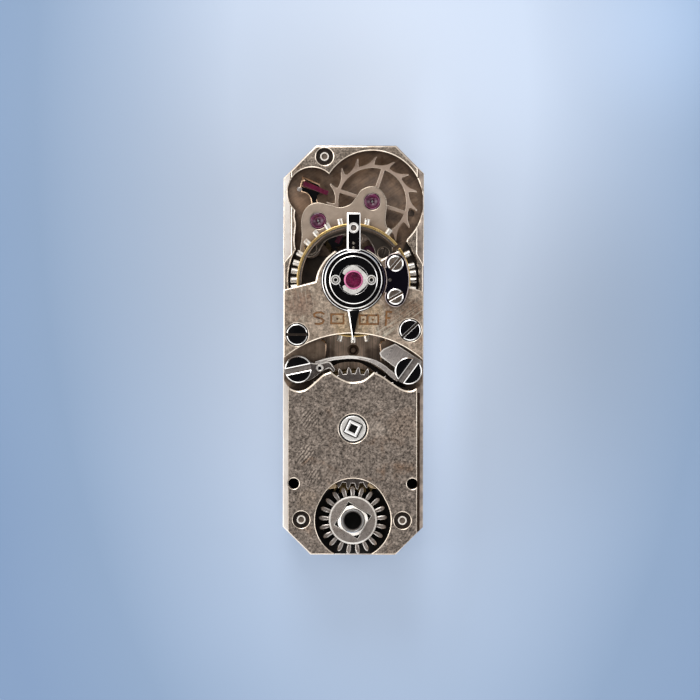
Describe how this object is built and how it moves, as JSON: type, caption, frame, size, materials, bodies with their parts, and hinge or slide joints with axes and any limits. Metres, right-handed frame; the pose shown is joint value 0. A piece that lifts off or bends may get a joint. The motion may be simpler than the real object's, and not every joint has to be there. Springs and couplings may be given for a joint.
{
  "type": "baguette watch movement",
  "caption": "Rectangular jewelled lever watch movement on two levels with balance, regulator, train, barrel, click work and back winding stem.",
  "frame": {"origin": "on the axis of the hands, at the dial side seat of the mainplate", "axes": "+Z out of the back through the bridges, +Y along the length from the hand axis towards the escapement, +X across to the right when seen from the back with the escapement at the top"},
  "size_m": [0.0048, 0.014, 0.0042],
  "materials": {
    "plate_nickel": "grained nickel plate on brass with brown patina along its recesses",
    "cock_nickel": "nickel plate with a warm champagne and brown patina",
    "bridge_nickel": "nickel plate, cross brushed and scratched, with bright worn edges",
    "smooth_nickel": "smooth matt nickel plate",
    "black_polish": "black mirror polished steel with bright bevels",
    "bright_steel": "bright polished steel",
    "grey_steel": "fine grained grey steel with bright edges",
    "spring_steel": "tempered spring steel",
    "escape_steel": "soft polished steel with a warm tint",
    "rim_brass": "turned brass",
    "gilt_brass": "gilt brass, dark in its recess",
    "ruby": "polished synthetic ruby"
  },
  "bodies": {
    "root": {"mainplate": "plate_nickel", "escapement_plate": "plate_nickel", "escape_bridge": "smooth_nickel", "balance_cock": "cock_nickel", "barrel_bridge": "bridge_nickel", "endstone_cap": "black_polish", "endstone_setting": "bright_steel", "balance_endstone": "ruby", "cap_screws": "bright_steel", "stud_plate": "black_polish", "stud_plate_screws": "bright_steel", "hairspring_stud": "bright_steel", "hairspring": "spring_steel", "cock_screws": "black_polish", "click_screws": "black_polish", "steady_pins": "bright_steel", "click_spring": "grey_steel", "train_jewels": "ruby", "bridge_jewels": "ruby", "balance_hole_jewels": "ruby", "lower_endstone": "ruby", "banking_pins": "bright_steel", "setting_cover": "grey_steel", "setting_cover_screws": "bright_steel", "escape_bridge_screws": "bright_steel", "centre_bush": "gilt_brass"},
    "barrel": {"barrel_drum": "gilt_brass", "barrel_lid": "gilt_brass", "mainspring": "spring_steel"},
    "ratchet": {"barrel_arbor": "bright_steel", "ratchet_wheel": "grey_steel"},
    "winding_wheel": {"winding_wheel": "grey_steel"},
    "winding_stem": {"winding_stem": "bright_steel"},
    "click": {"click": "grey_steel", "click_pin": "bright_steel"},
    "centre": {"centre_wheel": "gilt_brass", "centre_arbor": "bright_steel", "cannon_pinion": "bright_steel"},
    "third": {"third_wheel": "gilt_brass", "third_arbor": "bright_steel"},
    "fourth": {"fourth_wheel": "gilt_brass", "fourth_arbor": "bright_steel"},
    "escape": {"escape_wheel": "escape_steel", "escape_arbor": "bright_steel"},
    "pallets": {"pallet_fork": "black_polish", "pallet_stones": "ruby", "pallet_arbor": "bright_steel"},
    "balance": {"balance_wheel": "grey_steel", "balance_rim": "rim_brass", "balance_screws": "bright_steel", "balance_staff": "bright_steel", "roller": "bright_steel", "impulse_pin": "ruby", "hairspring_collet": "gilt_brass"},
    "minute": {"minute_wheel": "gilt_brass"},
    "hour": {"hour_wheel": "gilt_brass"},
    "setting": {"setting_wheel": "grey_steel"},
    "intermediate": {"intermediate_wheel": "grey_steel"},
    "regulator": {"regulator": "black_polish", "curb_pins": "bright_steel"}
  },
  "joints": [
    {"name": "fourth_wheel_turn", "type": "hinge", "parent": "root", "child": "fourth", "pos_m": [0.00053, 0.00338, 0.0009], "axis": [0, 0, 1], "continuous": true},
    {"name": "third_wheel_turn", "type": "hinge", "parent": "root", "child": "third", "pos_m": [-0.00035, 0.00187, 0.0012], "axis": [0, 0, 1], "continuous": true},
    {"name": "centre_wheel_turn", "type": "hinge", "parent": "root", "child": "centre", "pos_m": [0, 0, 0.0006], "axis": [0, 0, 1], "continuous": true},
    {"name": "barrel_turn", "type": "hinge", "parent": "root", "child": "barrel", "pos_m": [0, -0.00267, 0.0013], "axis": [0, 0, 1], "continuous": true},
    {"name": "escape_wheel_turn", "type": "hinge", "parent": "root", "child": "escape", "pos_m": [0.00063, 0.00508, 0.0018], "axis": [0, 0, 1], "continuous": true},
    {"name": "minute_wheel_turn", "type": "hinge", "parent": "root", "child": "minute", "pos_m": [0, -0.001, 0.0002], "axis": [0, 0, 1], "continuous": true},
    {"name": "hour_wheel_turn", "type": "hinge", "parent": "root", "child": "hour", "pos_m": [0, 0, 0.0001], "axis": [0, 0, 1], "continuous": true},
    {"name": "intermediate_wheel_turn", "type": "hinge", "parent": "root", "child": "intermediate", "pos_m": [0.00035, -0.00266, 0.00023], "axis": [0, 0, 1], "continuous": true},
    {"name": "setting_wheel_turn", "type": "hinge", "parent": "root", "child": "setting", "pos_m": [-0.00024, -0.00447, 0.00023], "axis": [0, 0, 1], "continuous": true},
    {"name": "pallet_fork_rock", "type": "hinge", "parent": "root", "child": "pallets", "pos_m": [-0.00121, 0.00442, 0.0018], "axis": [0, 0, 1], "range_deg": [-5, 5]},
    {"name": "balance_swing", "type": "hinge", "parent": "root", "child": "balance", "pos_m": [0, 0.00239, 0.0023], "axis": [0, 0, 1], "range_deg": [-220, 220], "deforming": ["hairspring"]},
    {"name": "ratchet_wind", "type": "hinge", "parent": "root", "child": "ratchet", "pos_m": [0, -0.00267, 0.0022], "axis": [0, 0, 1], "continuous": true},
    {"name": "winding_wheel_turn", "type": "hinge", "parent": "root", "child": "winding_wheel", "pos_m": [0, -0.0058, 0.0022], "axis": [0, 0, 1], "continuous": true},
    {"name": "stem_pull", "type": "slide", "parent": "winding_wheel", "child": "winding_stem", "axis": [0, 0, 1], "range_m": [0, 0.0002]},
    {"name": "click_lift", "type": "hinge", "parent": "root", "child": "click", "pos_m": [-0.00188, -0.00066, 0.0022], "axis": [0, 0, 1], "range_deg": [0, 7], "deforming": ["click_spring"]},
    {"name": "regulator_swing", "type": "hinge", "parent": "root", "child": "regulator", "pos_m": [0, 0.00239, 0.0031], "axis": [0, 0, 1], "range_deg": [-22, 22]}
  ],
  "couplings": [
    {"joint": "third_wheel_turn", "follows": "fourth_wheel_turn", "ratio": -0.13333},
    {"joint": "centre_wheel_turn", "follows": "fourth_wheel_turn", "ratio": 0.016667},
    {"joint": "barrel_turn", "follows": "fourth_wheel_turn", "ratio": -0.0035354},
    {"joint": "escape_wheel_turn", "follows": "fourth_wheel_turn", "ratio": -10},
    {"joint": "minute_wheel_turn", "follows": "fourth_wheel_turn", "ratio": -0.0055556},
    {"joint": "hour_wheel_turn", "follows": "fourth_wheel_turn", "ratio": 0.0013889},
    {"joint": "intermediate_wheel_turn", "follows": "fourth_wheel_turn", "ratio": 0.004386},
    {"joint": "setting_wheel_turn", "follows": "fourth_wheel_turn", "ratio": -0.004386},
    {"joint": "winding_wheel_turn", "follows": "ratchet_wind", "ratio": -1.9048}
  ]
}
